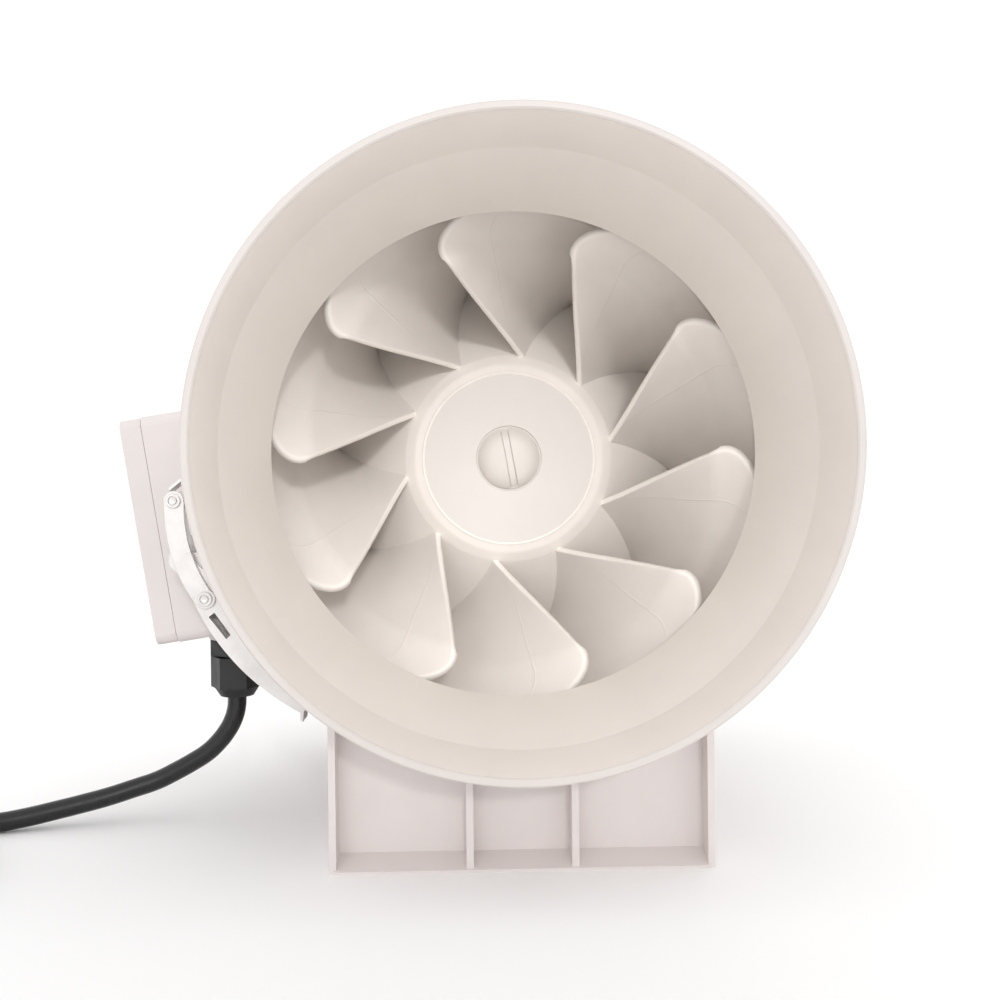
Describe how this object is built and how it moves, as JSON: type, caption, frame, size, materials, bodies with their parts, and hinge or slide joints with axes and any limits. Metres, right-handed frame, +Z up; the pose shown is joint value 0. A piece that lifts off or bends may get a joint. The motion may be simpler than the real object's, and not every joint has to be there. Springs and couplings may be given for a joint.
{
  "type": "inline duct fan",
  "caption": "Inline mixed-flow duct fan with clamped motor section, toggle-latch clamps, support base, terminal box and mains lead.",
  "frame": {"origin": "centre of the base's four-hole bolt pattern, on the underside of its foot", "axes": "+Y along the airflow from inlet to outlet, +Z up, terminal box on the -X side"},
  "size_m": [0.5532, 0.4189, 0.3184],
  "materials": {
    "ivory_abs": "satin moulded",
    "cap_abs": "satin moulded",
    "zinc_steel": "zinc plated",
    "ground_steel": "ground",
    "core_steel": "laminated",
    "copper_wire": "enamelled",
    "grey_rubber": "matt",
    "pale_rubber": "matt",
    "terminal_nylon": "satin",
    "capacitor_case": "gloss",
    "black_nylon": "satin",
    "black_pvc": "soft satin",
    "tie_fabric": "hook and loop strap",
    "plated_brass": "bright"
  },
  "bodies": {
    "housing": {"inlet_section": "ivory_abs", "outlet_section": "ivory_abs", "motor_casing": "ivory_abs", "impeller_shroud": "ivory_abs", "vane_ring": "ivory_abs", "motor_plate": "ivory_abs", "tail_cone": "ivory_abs", "tail_screws": "zinc_steel", "motor_can": "zinc_steel", "motor_end_cap": "zinc_steel", "stator_core": "core_steel", "stator_windings": "copper_wire", "motor_bearings": "ground_steel", "motor_screws": "zinc_steel", "flange_seals": "grey_rubber", "base": "ivory_abs", "front_clamp_ring": "zinc_steel", "front_clamp_catch": "zinc_steel", "front_clamp_bracket": "zinc_steel", "front_pivot_pin": "zinc_steel", "rear_clamp_ring": "zinc_steel", "rear_clamp_catch": "zinc_steel", "rear_clamp_bracket": "zinc_steel", "rear_pivot_pin": "zinc_steel", "terminal_box": "ivory_abs", "box_lid": "ivory_abs", "lid_gasket": "pale_rubber", "lid_screws": "zinc_steel", "box_screws": "zinc_steel", "terminal_block": "terminal_nylon", "run_capacitor": "capacitor_case", "motor_lead": "black_pvc", "lead_grommet": "grey_rubber", "gland_locknut": "black_nylon", "gland_body": "black_nylon", "gland_nut": "black_nylon", "gland_bush": "grey_rubber", "mains_cord": "black_pvc", "cord_coil": "black_pvc", "cord_tail": "black_pvc", "coil_tie": "tie_fabric", "plug_body": "black_pvc", "plug_prongs": "plated_brass"},
    "rotor": {"impeller_hub": "ivory_abs", "impeller_blades": "ivory_abs", "impeller_cap": "cap_abs", "motor_shaft": "ground_steel", "motor_rotor": "ground_steel"},
    "front_latch_lever": {"front_lever": "zinc_steel"},
    "front_latch_link": {"front_link_plates": "zinc_steel", "front_link_rivets": "zinc_steel"},
    "rear_latch_lever": {"rear_lever": "zinc_steel"},
    "rear_latch_link": {"rear_link_plates": "zinc_steel", "rear_link_rivets": "zinc_steel"}
  },
  "joints": [
    {"name": "impeller_spin", "type": "hinge", "parent": "housing", "child": "rotor", "pos_m": [0, 0, 0.175], "axis": [0, 1, 0], "continuous": true},
    {"name": "front_lever_hinge", "type": "hinge", "parent": "housing", "child": "front_latch_lever", "pos_m": [-0.14369, -0.1095, 0.13024], "axis": [0, 1, 0], "range_deg": [0, 110]},
    {"name": "front_link_hinge", "type": "hinge", "parent": "front_latch_lever", "child": "front_latch_link", "pos_m": [-0.13355, -0.1095, 0.11357], "axis": [0, 1, 0], "range_deg": [-110, 0]},
    {"name": "rear_lever_hinge", "type": "hinge", "parent": "housing", "child": "rear_latch_lever", "pos_m": [-0.14369, 0.1095, 0.13024], "axis": [0, 1, 0], "range_deg": [0, 110]},
    {"name": "rear_link_hinge", "type": "hinge", "parent": "rear_latch_lever", "child": "rear_latch_link", "pos_m": [-0.13355, 0.1095, 0.11357], "axis": [0, 1, 0], "range_deg": [-110, 0]}
  ],
  "couplings": [
    {"joint": "front_link_hinge", "follows": "front_lever_hinge", "ratio": -1},
    {"joint": "rear_link_hinge", "follows": "rear_lever_hinge", "ratio": -1}
  ]
}
